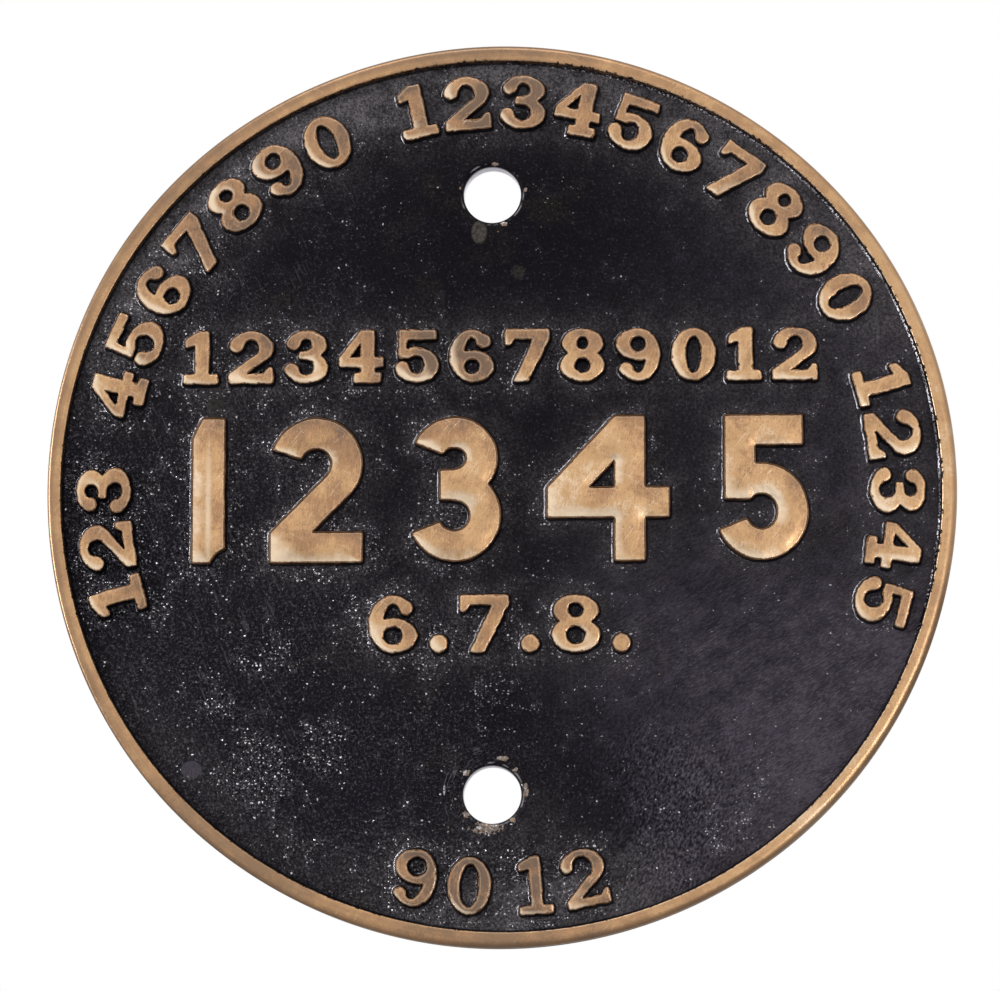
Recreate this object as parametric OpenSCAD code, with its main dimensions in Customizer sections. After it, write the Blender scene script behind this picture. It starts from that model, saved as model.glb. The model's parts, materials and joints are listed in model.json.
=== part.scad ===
// Round builder's plate: a cast bronze disc with a raised rim and raised figures,
// black paint on the sunk ground, and two bolt holes, one above the other.
// The back face lies on the XZ plane with its centre at the origin, and the front looks along -Y.

/* [Plate] */
// Diameter of the plate across its back
plate_d = 235; // [228:1:250]
// Thickness of the bronze behind the ground
base_t = 6.5; // [5:0.5:10]
// How much smaller the radius is at the front of the disc, for the draft of the mould
wall_draft = 0.4; // [0.1:0.1:1]
// Chamfer round the edge of the back face
back_chamfer = 0.6; // [0.2:0.1:1.5]

/* [Rim] */
// Width of the rim
rim_w = 3.9; // [3:0.1:6]
// Radius of the rounded outer edge of the rim
rim_round = 1.4; // [0.6:0.1:2]
// Height of the rim and of the figures above the bronze ground
relief_h = 3; // [2:0.25:5]

/* [Paint] */
// Thickness of the black paint on the ground
paint_t = 0.4; // [0.2:0.1:1]

/* [Bolt holes] */
// Diameter of each bolt hole
hole_d = 14.8; // [12:0.2:16]
// Distance between the two hole centres
hole_spacing = 156; // [152:1:160]
// How far both holes stand to the left of the plate's middle
hole_shift = 2; // [0:0.5:4]
// Chamfer at the front edge of each hole
hole_lip = 1; // [0.4:0.1:1.5]

/* [Ring of figures] */
// Height of the figures that follow the rim
ring_fig_h = 14; // [12:0.1:15]
// Width of these figures
ring_fig_w = 11.8; // [10.5:0.1:12.5]
// Clear distance between these figures and the rim
ring_margin = 4.2; // [3:0.1:6]
// Gap between neighbours in a group
ring_gap = 2.8; // [2:0.1:3.6]
// Angle that the whole ring of figures covers
ring_sweep = 218; // [212:1:226]
// Direction of the middle of the ring, anticlockwise from the right
ring_middle = 89; // [86:1:94]

/* [Serial line] */
// Height of the large plain figures across the middle
serial_h = 37.6; // [34:0.2:40]
// Width of these figures
serial_w = 23.8; // [22:0.2:25]
// Gap between these figures
serial_gap = 11.8; // [9:0.2:12.4]
// Width of their strokes
serial_stroke = 7.8; // [6:0.2:8.4]
// How far the middle of this line lies above the plate's centre
serial_rise = 0.4; // [-2:0.2:3]

/* [Upper line] */
// Height of the figures above the serial line
upper_h = 13.7; // [12:0.1:15]
// Width of these figures
upper_w = 11.4; // [10.5:0.1:12]
// Clear height between this line and the serial line
upper_clear = 9; // [7:0.2:11]
// Clear distance between the ends of this line and the ring of figures
upper_margin = 3.6; // [2:0.1:6]

/* [Lower line] */
// Height of the figures below the serial line
lower_h = 14.8; // [12:0.1:16]
// Width of these figures
lower_w = 12.4; // [11:0.1:13.5]
// Diameter of the stop after each figure
stop_d = 4.6; // [3.4:0.1:5.4]
// Gap on each side of a stop
stop_gap = 3.2; // [2:0.1:4.4]
// Clear height between this line and the serial line
lower_clear = 8.7; // [6:0.1:11]

/* [Foot line] */
// Height of the figures below the lower bolt hole
foot_h = 14.6; // [12:0.1:15]
// Width of these figures
foot_w = 11; // [10:0.1:12.5]
// Gap between neighbours in a group
foot_gap = 3; // [2:0.1:4.4]
// Gap between the two groups
foot_space = 6.8; // [5:0.1:9]
// Width of the heavy strokes of these figures, which are lighter than the others
foot_stem = 2.9; // [2.4:0.1:3.4]
// Width of their fine strokes
foot_fine = 1.7; // [1.3:0.1:2]
// Thickness of their feet and bars
foot_bar = 2.1; // [1.6:0.1:2.6]
// Radius of the round ends of their open strokes
foot_knob = 1.5; // [1.2:0.1:1.7]

/* [Slab lettering] */
// Width of the heavy strokes of the slab figures
slab_stem = 3.6; // [3:0.1:3.9]
// Width of their fine strokes
slab_fine = 2; // [1.6:0.1:2.4]
// Thickness of their feet and bars
slab_foot = 2.5; // [2:0.1:3]
// Radius of the round ends of their open strokes
slab_knob = 1.8; // [1.4:0.1:2]
// How far a foot or a serif stands out
slab_serif = 1.7; // [1.2:0.1:2.2]

/* [Hidden] */
$fn = 96;
arc_step = 15; // a round stroke has a corner at least this often, in degrees
over = 1; // how far a cutting shape runs past what it cuts
bronze = [0.68, 0.52, 0.38];
black = [0.15, 0.14, 0.16];

hole_r = hole_d / 2;
front_r = plate_d / 2 - wall_draft;
rim_inner_r = front_r - rim_w;
paint_y = base_t + paint_t;

// Middle radius of the ring of figures and of the foot line
ring_r = rim_inner_r - ring_margin - ring_fig_h / 2;
foot_r = rim_inner_r - ring_margin - foot_h / 2;

// Heights of the straight lines of figures
upper_z = serial_rise + serial_h / 2 + upper_clear + upper_h / 2;
lower_z = serial_rise - serial_h / 2 - lower_clear - lower_h / 2;

// What the lines hold: plain running digits, in groups
ring_groups = [[1, 2, 3], [4, 5, 6, 7, 8, 9, 0], [1, 2, 3, 4, 5, 6, 7, 8, 9, 0], [1, 2, 3, 4, 5]];
upper_digits = [1, 2, 3, 4, 5, 6, 7, 8, 9, 0, 1, 2];
serial_digits = [1, 2, 3, 4, 5];
lower_digits = [6, 7, 8];
foot_groups = [[9, 0], [1, 2]];

ring_digits = [for (group = ring_groups) each group];
foot_digits = [for (group = foot_groups) each group];

// Strokes of the three styles of figure: heavy, fine, bar, radius of the round ends, serif
slab_style = [slab_stem, slab_fine, slab_foot, slab_knob, slab_serif];
foot_style = [foot_stem, foot_fine, foot_bar, foot_knob, slab_serif];
plain_style = [serial_stroke, serial_stroke, serial_stroke, 0, 0];

// A one is narrower than the other figures, and a large plain four is wider
slab_one = 0.78;
plain_one = 0.35;
plain_four = 1.32;
function slab_w(w, digit) = digit == 1 ? w * slab_one : w;
function plain_w(w, digit) = digit == 1 ? w * plain_one : digit == 4 ? w * plain_four : w;

function sum(v, n) = n <= 0 ? 0 : v[n - 1] + sum(v, n - 1);
function total(v) = sum(v, len(v));
function last(v) = v[len(v) - 1];

// Middle of each figure along its line, which is centred on 0; gaps holds the gap after each
function middles(widths, gaps) =
    let (half = (total(widths) + sum(gaps, len(widths) - 1)) / 2)
    [for (i = [0 : len(widths) - 1]) sum(widths, i) + sum(gaps, i) + widths[i] / 2 - half];

// Gap after each figure of a line in groups
function group_gaps(groups, gap, space) =
    [for (group = groups) for (i = [0 : len(group) - 1]) i == len(group) - 1 ? space : gap];

ring_widths = [for (digit = ring_digits) slab_w(ring_fig_w, digit)];
ring_length = ring_sweep * PI / 180 * ring_r;
ring_inner_gaps = (len(ring_digits) - len(ring_groups)) * ring_gap;
ring_space = (ring_length - total(ring_widths) - ring_inner_gaps) / (len(ring_groups) - 1);
ring_s = middles(ring_widths, group_gaps(ring_groups, ring_gap, ring_space));

foot_widths = [for (digit = foot_digits) slab_w(foot_w, digit)];
foot_s = middles(foot_widths, group_gaps(foot_groups, foot_gap, foot_space));

// The upper line runs as far as the ring of figures lets it
upper_widths = [for (digit = upper_digits) slab_w(upper_w, digit)];
ring_chord = sqrt(pow(ring_r - ring_fig_h / 2, 2) - pow(upper_z + upper_h / 2, 2));
upper_gap = (2 * (ring_chord - upper_margin) - total(upper_widths)) / (len(upper_digits) - 1);
upper_x = middles(upper_widths, [for (digit = upper_digits) upper_gap]);

serial_widths = [for (digit = serial_digits) plain_w(serial_w, digit)];
serial_x = middles(serial_widths, [for (digit = serial_digits) serial_gap]);

// A figure and its stop make one step of the lower line
lower_widths = [for (digit = lower_digits) slab_w(lower_w, digit) + stop_gap + stop_d];
lower_x = middles(lower_widths, [for (digit = lower_digits) stop_gap]);

// Points along an oval arc from angle a0 to a1, and all round an oval
function arc(c, r, a0, a1) =
    let (n = ceil(abs(a1 - a0) / arc_step))
    [for (i = [0 : n]) let (a = a0 + (a1 - a0) * i / n) c + [r.x * cos(a), r.y * sin(a)]];
function oval(c, r) =
    let (n = ceil(360 / arc_step))
    [for (i = [0 : n - 1]) c + [r.x * cos(360 * i / n), r.y * sin(360 * i / n)]];

// Round end of an open stroke between its corners p and q, left out where the stroke is wider
function knob(p, q, r) =
    let (d = norm(q - p))
    2 * r <= d ? [] :
    let (ahead = [q.y - p.y, p.x - q.x] / d)
    let (c = (p + q) / 2 + ahead * sqrt(r * r - d * d / 4))
    let (a = atan2(p.y - c.y, p.x - c.x))
    let (points = arc(c, [r, r], a, a + 360 - 2 * asin(d / (2 * r))))
    [for (i = [1 : len(points) - 2]) points[i]];

// Outlines of the digits. Each function gives the outline and then any holes, anticlockwise,
// in a box w wide and h high; s holds the strokes of the style.
function zero(w, h, s) =
    [oval([w, h] / 2, [w, h] / 2), oval([w, h] / 2, [w / 2 - s[0], h / 2 - s[1]])];

function one(w, h, s) =
    let (mid = 0.54 * w, left = 0.06 * w)
    s[4] == 0
    ? [[[0, 0], [w, 0], [w, h], [0.3 * w, h], [0, 0.86 * h]]]
    : [[[0, 0], [w, 0], [w, s[2]], [mid + s[0] / 2, s[2]], [mid + s[0] / 2, h],
        [mid - 0.3 * s[0], h], [left, h - s[1]], [left, h - 2.1 * s[1]],
        [mid - s[0] / 2, h - 1.8 * s[1]], [mid - s[0] / 2, s[2]], [0, s[2]]]];

function two(w, h, s) =
    let (r = [w / 2, 0.32 * h], c = [w / 2, h - r.y], inner = [r.x - s[0], r.y - s[1]])
    let (outside = arc(c, r, -32, 162), inside = arc(c, inner, 162, -32))
    let (slope = last(inside).x / (last(inside).y - s[2]))
    let (heel = outside[0].x - (outside[0].y - s[2]) * slope)
    let (serif = s[4] == 0 ? [] : [[w - 0.5 * s[2], s[2] + s[4]], [w - s[2], s[2]]])
    [concat([[0, 0], [w, 0], [w, s[2] + s[4]]], serif, [[heel, s[2]]],
            outside, knob(last(outside), inside[0], s[3]), inside, [[0, s[2]]])];

// Waist and bowls of a three and an eight: [height of the waist, lower centre and radii, upper ones]
function bowls(w, h, s) =
    let (waist = 0.53 * h, low = (waist + s[1] / 2) / 2, high = (h - waist + s[1] / 2) / 2)
    [waist, [w / 2, low], [w / 2, low], [w / 2, h - high], [0.465 * w, high]];

function three(w, h, s) =
    let (b = bowls(w, h, s), heavy = [s[0], s[1]], nib = w / 2 - 0.16 * w)
    let (low = asin((b[0] - b[1].y) / b[2].y), high = asin((b[0] - b[3].y) / b[4].y))
    let (low_out = arc(b[1], b[2], -158, low), low_in = arc(b[1], b[2] - heavy, 90, -158))
    let (high_out = arc(b[3], b[4], high, 158), high_in = arc(b[3], b[4] - heavy, 158, -90))
    [concat(low_out, high_out, knob(last(high_out), high_in[0], s[3]), high_in,
            [[nib, b[0] + s[1] / 2], [nib, b[0] - s[1] / 2]],
            low_in, knob(last(low_in), low_out[0], s[3]))];

function four(w, h, s) =
    let (right = 0.8 * w, left = right - s[0], low = 0.3 * h, top = low + s[2], fine = s[1])
    let (slant = [left, h - top] / norm([left, h - top]))
    let (tip = top - fine * slant.x + (left - fine * slant.y) * slant.y / slant.x)
    let (foot = s[4] == 0 ? [[left, 0], [right, 0]]
                          : [[left, s[2]], [left - s[4], s[2]], [left - s[4], 0],
                             [right + s[4], 0], [right + s[4], s[2]], [right, s[2]]])
    [concat(foot, [[right, low], [w, low], [w, top], [right, top], [right, h], [left, h],
                   [0, top], [0, low], [left, low]]),
     [[fine / slant.y, top], [left, top], [left, tip]]];

function five(w, h, s) =
    let (r = [w / 2, 0.335 * h], inner = [r.x - s[0], r.y - s[1]], left = 0.1 * w)
    let (start = acos((left + s[1] - r.x) / r.x))
    let (outside = arc(r, r, -158, start), inside = arc(r, inner, 138, -158))
    [concat(outside, [[left + s[1], h - s[2]], [0.94 * w, h - s[2]], [0.94 * w, h], [left, h],
                      [left, inside[0].y]],
            inside, knob(last(inside), outside[0], s[3]))];

function six(w, h, s) =
    let (c = [w, h] / 2, r = c, inner = [r.x - s[0], r.y - s[1]])
    let (bowl = [w / 2, 0.3 * h], join = acos((1.08 * s[0] - bowl.x) / bowl.x), tip = 54)
    let (join_z = bowl.y * (1 + sin(join)))
    let (outside = arc(c, r, tip, 270), belly = arc(bowl, bowl, -90 + arc_step, join))
    let (inside = arc(c, inner, 180 - asin((join_z - c.y) / inner.y), tip))
    [concat(outside, belly, inside, knob(last(inside), outside[0], s[3])),
     oval(bowl, [bowl.x - s[0], bowl.y - s[1]])];

function seven(w, h, s) =
    let (foot = 0.2 * w, bar = h - s[2])
    [[[foot, 0], [foot + s[0], 0], [w, bar], [w, h], [0, h], [0, bar - s[4]],
      [0.5 * s[2], bar - s[4]], [s[2], bar], [w - 1.15 * s[0], bar]]];

function eight(w, h, s) =
    let (b = bowls(w, h, s), heavy = [s[0], s[1]])
    let (low = asin((b[0] - b[1].y) / b[2].y), high = asin((b[0] - b[3].y) / b[4].y))
    [concat(arc(b[1], b[2], 180 - low, 360 + low), arc(b[3], b[4], high, 180 - high)),
     oval(b[1], b[2] - heavy), oval(b[3], b[4] - heavy)];

function nine(w, h, s) =
    [for (outline = six(w, h, s)) [for (p = outline) [w, h] - p]];

function outlines(digit, w, h, s) =
    digit == 0 ? zero(w, h, s) :
    digit == 1 ? one(w, h, s) :
    digit == 2 ? two(w, h, s) :
    digit == 3 ? three(w, h, s) :
    digit == 4 ? four(w, h, s) :
    digit == 5 ? five(w, h, s) :
    digit == 6 ? six(w, h, s) :
    digit == 7 ? seven(w, h, s) :
    digit == 8 ? eight(w, h, s) : nine(w, h, s);

// Flat shape of one digit with its middle at the origin
module figure_shape(digit, w, h, s) {
    shapes = outlines(digit, w, h, s);
    paths = [for (k = [0 : len(shapes) - 1])
        let (first = len([for (j = [0 : k]) if (j < k) each shapes[j]]))
        [for (i = [0 : len(shapes[k]) - 1]) first + i]];
    translate([-w / 2, -h / 2])
        polygon([for (shape = shapes) each shape], paths);
}

// Flat shapes of the figures where they stand, seen from the front
module ring_shape(i) {
    turn = ring_middle - ring_s[i] / ring_r * 180 / PI;
    rotate(turn - 90)
        translate([0, ring_r])
            figure_shape(ring_digits[i], ring_widths[i], ring_fig_h, slab_style);
}

module foot_shape(i) {
    turn = foot_s[i] / foot_r * 180 / PI;
    rotate(turn)
        translate([0, -foot_r])
            figure_shape(foot_digits[i], foot_widths[i], foot_h, foot_style);
}

module upper_shape(i) {
    translate([upper_x[i], upper_z])
        figure_shape(upper_digits[i], upper_widths[i], upper_h, slab_style);
}

module serial_shape(i) {
    translate([serial_x[i], serial_rise])
        figure_shape(serial_digits[i], serial_widths[i], serial_h, plain_style);
}

module lower_shape(i) {
    w = slab_w(lower_w, lower_digits[i]);
    translate([lower_x[i] - lower_widths[i] / 2 + w / 2, lower_z])
        figure_shape(lower_digits[i], w, lower_h, slab_style);
}

module stop_shape(i) {
    translate([lower_x[i] + lower_widths[i] / 2 - stop_d / 2, lower_z - lower_h / 2 + stop_d / 2])
        circle(d = stop_d);
}

// Raises a flat shape towards the front, from the depth y0 by the height t
module raise(y0, t) {
    rotate([90, 0, 0])
        translate([0, 0, y0])
            linear_extrude(t)
                children();
}

// Both bolt holes, with the chamfer that opens them at the face of the paint
module bolt_holes() {
    for (side = [-1, 1])
        translate([-hole_shift, 0, side * hole_spacing / 2])
            rotate([90, 0, 0]) {
                translate([0, 0, -over])
                    cylinder(r = hole_r, h = paint_y + 2 * over);
                translate([0, 0, paint_y - hole_lip])
                    cylinder(r1 = hole_r, r2 = hole_r + hole_lip + over, h = hole_lip + over);
            }
}

module back_plate() {
    color(bronze)
        difference() {
            rotate([90, 0, 0])
                rotate_extrude()
                    polygon([
                        [0, 0],
                        [plate_d / 2 - back_chamfer, 0],
                        [plate_d / 2, back_chamfer],
                        [front_r, base_t],
                        [0, base_t]
                    ]);
            bolt_holes();
        }
}

module rim() {
    color(bronze)
        rotate([90, 0, 0])
            rotate_extrude()
                translate([0, base_t])
                    intersection() {
                        translate([rim_inner_r, 0])
                            square([rim_w, relief_h]);
                        union() {
                            square([front_r, relief_h - rim_round]);
                            square([front_r - rim_round, relief_h]);
                            translate([front_r - rim_round, relief_h - rim_round])
                                circle(r = rim_round);
                        }
                    }
}

module ground_paint() {
    color(black)
        difference() {
            raise(base_t, paint_t)
                difference() {
                    circle(r = rim_inner_r);
                    for (i = [0 : len(ring_digits) - 1]) ring_shape(i);
                    for (i = [0 : len(upper_digits) - 1]) upper_shape(i);
                    for (i = [0 : len(serial_digits) - 1]) serial_shape(i);
                    for (i = [0 : len(lower_digits) - 1]) lower_shape(i);
                    for (i = [0 : len(lower_digits) - 1]) stop_shape(i);
                    for (i = [0 : len(foot_digits) - 1]) foot_shape(i);
                }
            bolt_holes();
        }
}

module ring_figure(i) {
    color(bronze) raise(base_t, relief_h) ring_shape(i);
}

module upper_figure(i) {
    color(bronze) raise(base_t, relief_h) upper_shape(i);
}

module serial_figure(i) {
    color(bronze) raise(base_t, relief_h) serial_shape(i);
}

module lower_figure(i) {
    color(bronze) raise(base_t, relief_h) lower_shape(i);
}

module lower_stops() {
    color(bronze)
        for (i = [0 : len(lower_digits) - 1])
            raise(base_t, relief_h) stop_shape(i);
}

module foot_figure(i) {
    color(bronze) raise(base_t, relief_h) foot_shape(i);
}

// Names of the figures of one line
function line_nodes(name, digits) = [for (i = [1 : len(digits)]) str(name, "_", i)];
ring_nodes = line_nodes("ring_figure", ring_digits);
upper_nodes = line_nodes("upper_figure", upper_digits);
serial_nodes = line_nodes("serial_figure", serial_digits);
lower_nodes = line_nodes("lower_figure", lower_digits);
foot_nodes = line_nodes("foot_figure", foot_digits);

back_plate();
rim();
ground_paint();
for (i = [0 : len(ring_nodes) - 1])
    ring_figure(i);
for (i = [0 : len(upper_nodes) - 1])
    upper_figure(i);
for (i = [0 : len(serial_nodes) - 1])
    serial_figure(i);
for (i = [0 : len(lower_nodes) - 1])
    lower_figure(i);
lower_stops();
for (i = [0 : len(foot_nodes) - 1])
    foot_figure(i);
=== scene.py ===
import json
import math

import bmesh
import bpy
import numpy as np
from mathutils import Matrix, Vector
from mathutils.geometry import delaunay_2d_cdt
from mathutils.kdtree import KDTree


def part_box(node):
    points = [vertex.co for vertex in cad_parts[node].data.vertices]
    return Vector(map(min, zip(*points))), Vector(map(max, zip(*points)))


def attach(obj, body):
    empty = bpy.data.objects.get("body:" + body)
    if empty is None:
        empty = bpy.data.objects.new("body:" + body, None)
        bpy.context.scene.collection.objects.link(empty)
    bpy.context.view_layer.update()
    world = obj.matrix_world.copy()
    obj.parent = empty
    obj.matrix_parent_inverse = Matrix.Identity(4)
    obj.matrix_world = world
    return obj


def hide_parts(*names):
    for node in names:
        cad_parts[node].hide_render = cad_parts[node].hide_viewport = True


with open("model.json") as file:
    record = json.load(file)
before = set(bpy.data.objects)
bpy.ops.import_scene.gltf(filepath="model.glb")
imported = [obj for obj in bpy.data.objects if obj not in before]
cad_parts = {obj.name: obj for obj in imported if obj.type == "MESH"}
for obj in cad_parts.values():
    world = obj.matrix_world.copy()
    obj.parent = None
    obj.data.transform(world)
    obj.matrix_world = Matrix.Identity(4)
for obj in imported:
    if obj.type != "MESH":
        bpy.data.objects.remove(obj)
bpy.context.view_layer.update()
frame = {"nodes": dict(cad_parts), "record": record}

# Sizes are in millimetres. A piece is drawn flat, with x to the right and z up as seen from
# the front, and its heights are measured forwards from the face of the black paint: FACE_H is
# the faces of the rim and figures, BASE_H the bronze under the paint and BACK_H the back.
MM = 0.001


def corners(node):
    """Lowest and highest corner of a node in millimetres."""
    return [np.array(corner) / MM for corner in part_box(node)]


plate_low, plate_high = corners("back_plate")
paint_low, paint_high = corners("ground_paint")
rim_low = corners("rim")[0]
PAINT_Y = paint_low[1]
FACE_H = PAINT_Y - rim_low[1]
BASE_H = PAINT_Y - plate_low[1]
BACK_H = PAINT_Y - plate_high[1]
PLATE_R = plate_high[0]
PAINT_R = paint_high[0]
BORES = [mount for mount in frame["record"]["mounts"] if mount["kind"] == "bore"]
HOLE_PLACES = [np.array([mount["pos_m"][0], mount["pos_m"][2]]) / MM for mount in BORES]
LOWER_HOLE, UPPER_HOLE = sorted(HOLE_PLACES, key=lambda place: place[1])
HOLE_R = BORES[0]["dims"]["r_mm"]
FIGURES = sorted(name for name in frame["nodes"] if "_figure_" in name)


class Field:
    """What a node gives, so that sums and products of fields are written as plain ones."""

    __array_ufunc__ = None  # a numpy number leaves its sum with a field to the field

    def __init__(self, nodes, socket):
        self.nodes = nodes
        self.socket = socket

    def __add__(self, other):
        return self.nodes.math("ADD", self, other)

    def __radd__(self, other):
        return self.nodes.math("ADD", other, self)

    def __sub__(self, other):
        return self.nodes.math("SUBTRACT", self, other)

    def __rsub__(self, other):
        return self.nodes.math("SUBTRACT", other, self)

    def __mul__(self, other):
        return self.nodes.math("MULTIPLY", self, other)

    def __truediv__(self, other):
        return self.nodes.math("DIVIDE", self, other)


class Nodes:
    """Short calls that add nodes to a shader or geometry tree and link them."""

    def __init__(self, tree):
        self.tree = tree

    def put(self, value, socket):
        """Links a field to a socket, or writes a plain value there."""
        if isinstance(value, Field):
            self.tree.links.new(value.socket, socket)
        else:
            socket.default_value = value

    def add(self, kind, inputs=None, **settings):
        """A new node with its settings and inputs."""
        node = self.tree.nodes.new(kind)
        for name, value in settings.items():
            setattr(node, name, value)
        for key, value in (inputs or {}).items():
            self.put(value, node.inputs[key])
        return node

    def outputs(self, node, *keys):
        """Outputs of a node as fields."""
        return [Field(self, node.outputs[key]) for key in keys]

    def field(self, kind, inputs=None, out=0, **settings):
        """One output of a new node."""
        return self.outputs(self.add(kind, inputs, **settings), out)[0]

    def capture(self, geometry, kind, name, value):
        """Keeps a value on the points of a geometry, and gives both."""
        node = self.add("GeometryNodeCaptureAttribute", {"Geometry": geometry})
        node.capture_items.new(kind, name)
        self.put(value, node.inputs[1])
        return self.outputs(node, 0, 1)

    def math(self, operation, a, b=0.0, clamp=False):
        return self.field("ShaderNodeMath", {0: a, 1: b}, operation=operation, use_clamp=clamp)

    def vector_math(self, operation, a, b=(0.0, 0.0, 0.0), out="Vector"):
        return self.field("ShaderNodeVectorMath", {0: a, 1: b}, out, operation=operation)

    def larger(self, a, b):
        return self.math("MAXIMUM", a, b)

    def step(self, value, low, high, to_low=0.0, to_high=1.0):
        """Smooth step of a value from low to high."""
        return self.field("ShaderNodeMapRange", {"Value": value, "From Min": low, "From Max": high,
                                                 "To Min": to_low, "To Max": to_high},
                          "Result", interpolation_type="SMOOTHSTEP")

    def split(self, vector):
        return self.outputs(self.add("ShaderNodeSeparateXYZ", {0: vector}), 0, 1, 2)

    def join(self, x, y, z):
        return self.field("ShaderNodeCombineXYZ", {0: x, 1: y, 2: z})

    def mix(self, share, a, b):
        """Colour between a and b."""
        return self.field("ShaderNodeMix", {0: share, 6: a, 7: b}, 2, data_type="RGBA")

    def blend(self, share, a, b):
        """Number between a and b."""
        return self.field("ShaderNodeMix", {0: share, 2: a, 3: b}, data_type="FLOAT")


class Finish(Nodes):
    """The nodes of a new material, which follow the place in Object coordinates."""

    def __init__(self, name):
        self.material = bpy.data.materials.new(name)
        self.material.use_nodes = True
        super().__init__(self.material.node_tree)
        self.surface = self.tree.nodes["Principled BSDF"]
        self.place = self.field("ShaderNodeTexCoord", out="Object")

    def attribute(self, name):
        """A mark that the points of the piece carry: inset, lean, near, or the lit end that steers
        painted light.
        """
        return self.field("ShaderNodeAttribute", out="Fac", attribute_name=name)

    def noise(self, size, detail=2.0, roughness=0.5, stretch=None, turn=0.0, place=None):
        """Noise whose features are about size millimetres wide, longer by stretch along a line."""
        place = place or self.place
        if stretch:
            place = self.field("ShaderNodeMapping",
                               {"Vector": place, "Rotation": (0.0, math.radians(-turn), 0.0),
                                "Scale": (stretch, 1.0, 1.0)}, vector_type="TEXTURE")
        return self.field("ShaderNodeTexNoise", {"Vector": place, "Scale": 1 / (size * MM),
                                                 "Detail": detail, "Roughness": roughness})

    def dots(self, flat, size, share):
        """Scattered dots of different sizes on a share of cells about size millimetres wide."""
        cells = self.add("ShaderNodeTexVoronoi", {"Vector": flat, "Scale": 1 / (size * MM)},
                         voronoi_dimensions="2D")
        far, lot = self.outputs(cells, "Distance", "Color")
        chance, big = self.outputs(self.add("ShaderNodeSeparateColor", {0: lot}), 0, 1)
        big = big * big
        radius = big * 0.22 + 0.12
        dot = self.step(far, radius, radius * 0.35)
        lit = dot * self.math("LESS_THAN", chance, share)
        return lit * (big * 0.75 + 0.25)

    def distance(self, x, z, squeeze=(1.0, 1.0)):
        """Distance in metres from a point of the plate, given in millimetres."""
        a, b = squeeze
        flat = self.vector_math("MULTIPLY", self.place, (a, 0.0, b))
        return self.vector_math("DISTANCE", flat, (a * x * MM, 0.0, b * z * MM), out="Value")

    def spot(self, x, z, radius, soft=1.0, squeeze=(1.0, 1.0)):
        """1 at a point of the plate, falling to 0 at a radius in millimetres."""
        far = self.distance(x, z, squeeze)
        return self.step(far, radius * MM, radius * (1 - soft) * MM)

    def connect(self, height=None, **values):
        """Gives the surface its colour, metal and so on, and its height in millimetres."""
        if height is not None:
            values["normal"] = self.field("ShaderNodeBump", {"Height": height, "Distance": MM,
                                                             "Strength": 1.0})
        for key, value in values.items():
            self.put(value, self.surface.inputs[SURFACE_SOCKETS[key]])
        return self.material


SURFACE_SOCKETS = {"colour": "Base Color", "metal": "Metallic", "rough": "Roughness",
                   "normal": "Normal", "specular": "Specular IOR Level"}


def colour(r, g, b):
    return (r, g, b, 1.0)


# Bronze and paint. The limits of the steps below are given: noise runs from 0 to 1 and is
# mostly between 0.3 and 0.7, and a place times MM is in metres, as Object coordinates are.

BRONZE_STAIN = colour(0.105, 0.062, 0.040)
BRONZE_FRINGE = colour(0.150, 0.070, 0.032)
BRONZE_DARK = colour(0.200, 0.132, 0.092)
BRONZE_MID = colour(0.405, 0.231, 0.127)
BRONZE_FILED = colour(0.520, 0.315, 0.165)
BRONZE_GOLD = colour(0.610, 0.370, 0.190)
BRONZE_PALE = colour(0.860, 0.680, 0.500)
# Pale bronze for painted highlights on the figures
BRONZE_HIGHLIGHT = colour(0.900, 0.725, 0.530)
HOLE_GREY = colour(0.190, 0.165, 0.150)
# Painted reflection on the walls of the holes
HOLE_WALL_REFLECTION = colour(0.920, 0.900, 0.960)
# Black for painted shade in the pits of the paint and on the sides
PAINT_SHADE = colour(0.0014, 0.0010, 0.0018)
PAINT_BLACK = colour(0.0056, 0.0038, 0.0086)
PAINT_TOP = colour(0.0155, 0.0130, 0.0205)
PAINT_OLIVE = colour(0.0340, 0.0290, 0.0190)
PAINT_MARK = colour(0.0480, 0.0450, 0.0380)
# Dust, and painted sheen on the grains and at the lower right
PAINT_DUST_AND_SHEEN = colour(0.0800, 0.0672, 0.0885)
# Grey for painted light by the rim and the figures
PAINT_GREY_LIGHT = colour(0.158, 0.143, 0.152)
# Pale specks and scratches, and painted glints and highlights
PAINT_SPECK_AND_GLINT = colour(0.680, 0.660, 0.700)
PAINT_SPECULAR = 0.065

# Where the bronze has stayed dark or been rubbed bright: x, z and radius in millimetres, and
# how much lighter it is.
PATINA = [(-6, 103, 46, -0.36), (-72, 78, 42, -0.28), (62, 84, 34, -0.14), (-12, 36, 34, -0.42),
          (-62, 36, 22, -0.14), (0, -104, 42, -0.50), (-66, -92, 52, -0.40), (106, 4, 42, 0.16),
          (84, -74, 44, 0.36), (66, 6, 46, 0.22), (8, 4, 42, 0.32), (-78, 4, 34, 0.20),
          (118, 34, 26, 0.26), (62, 36, 26, 0.10), (-30, -32, 22, 0.04), (32, -32, 20, 0.18),
          (60, 92, 22, 0.14), (119, 6, 18, 0.36), (104, 60, 18, 0.30)]


def patina(n):
    """Lightness of the bronze over the whole plate, around 0."""
    total = 0.0
    for x, z, radius, lighter in PATINA:
        total = n.spot(x, z, radius) * lighter + total
    return total


def scratches(n, size, turn, low):
    """Long thin scratches at a turn in degrees, in patches."""
    lines = n.step(n.noise(size, detail=1, stretch=32.0, turn=turn), low, low + 0.06)
    return lines * n.step(n.noise(7 + size), 0.44, 0.58)


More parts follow.
